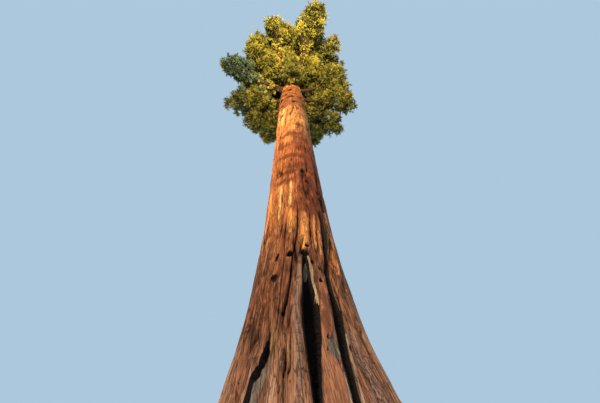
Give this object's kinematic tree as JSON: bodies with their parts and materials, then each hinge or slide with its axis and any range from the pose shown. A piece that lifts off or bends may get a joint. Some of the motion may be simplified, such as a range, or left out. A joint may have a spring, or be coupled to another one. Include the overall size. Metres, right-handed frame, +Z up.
{
  "type": "giant sequoia tree",
  "caption": "Giant sequoia: tall leaning column trunk with a flared, ribbed, fire-scarred foot and a rounded crown of dense foliage masses on upturned boughs.",
  "frame": {"origin": "middle of the flat cut under the trunk, at ground level", "axes": "+Z up the tree, -Y towards the side with the burnt hollows, +X the way the trunk leans"},
  "size_m": [11.4821, 12.1886, 39.9991],
  "materials": {
    "bark": "deeply furrowed fibrous cinnamon bark, matte, charred in the hollows",
    "bough_bark": "furrowed brown bark, matte",
    "needles": "scale-leaved sprays, olive to yellow-green, matte"
  },
  "bodies": {
    "root": {"bough_back_left": "bough_bark", "bough_back_right": "bough_bark", "bough_front": "bough_bark", "bough_front_left": "bough_bark", "bough_front_left_tip": "bough_bark", "bough_front_right": "bough_bark", "bough_left": "bough_bark", "bough_left_far": "bough_bark", "bough_left_front": "bough_bark", "bough_left_high": "bough_bark", "bough_low_back": "bough_bark", "bough_low_back_left": "bough_bark", "bough_low_back_right": "bough_bark", "bough_low_left": "bough_bark", "bough_low_left_back": "bough_bark", "bough_low_right": "bough_bark", "bough_low_right_back": "bough_bark", "bough_right": "bough_bark", "bough_right_front": "bough_bark", "bough_right_high": "bough_bark", "bough_right_low": "bough_bark", "bough_upper_1": "bough_bark", "bough_upper_2": "bough_bark", "bough_upper_3": "bough_bark", "bough_upper_4": "bough_bark", "bough_upper_5": "bough_bark", "foliage_back_left": "needles", "foliage_back_right": "needles", "foliage_front": "needles", "foliage_front_left": "needles", "foliage_front_left_tip": "needles", "foliage_front_low": "needles", "foliage_front_right": "needles", "foliage_high_1": "needles", "foliage_high_2": "needles", "foliage_high_3": "needles", "foliage_inner_left": "needles", "foliage_inner_right": "needles", "foliage_left": "needles", "foliage_left_far": "needles", "foliage_left_front": "needles", "foliage_left_high": "needles", "foliage_low_back": "needles", "foliage_low_back_left": "needles", "foliage_low_back_right": "needles", "foliage_low_left": "needles", "foliage_low_left_back": "needles", "foliage_low_right": "needles", "foliage_low_right_back": "needles", "foliage_right": "needles", "foliage_right_front": "needles", "foliage_right_high": "needles", "foliage_right_low": "needles", "foliage_top": "needles", "foliage_upper_1": "needles", "foliage_upper_2": "needles", "foliage_upper_3": "needles", "foliage_upper_4": "needles", "foliage_upper_5": "needles", "trunk": "bark"}
  },
  "joints": []
}
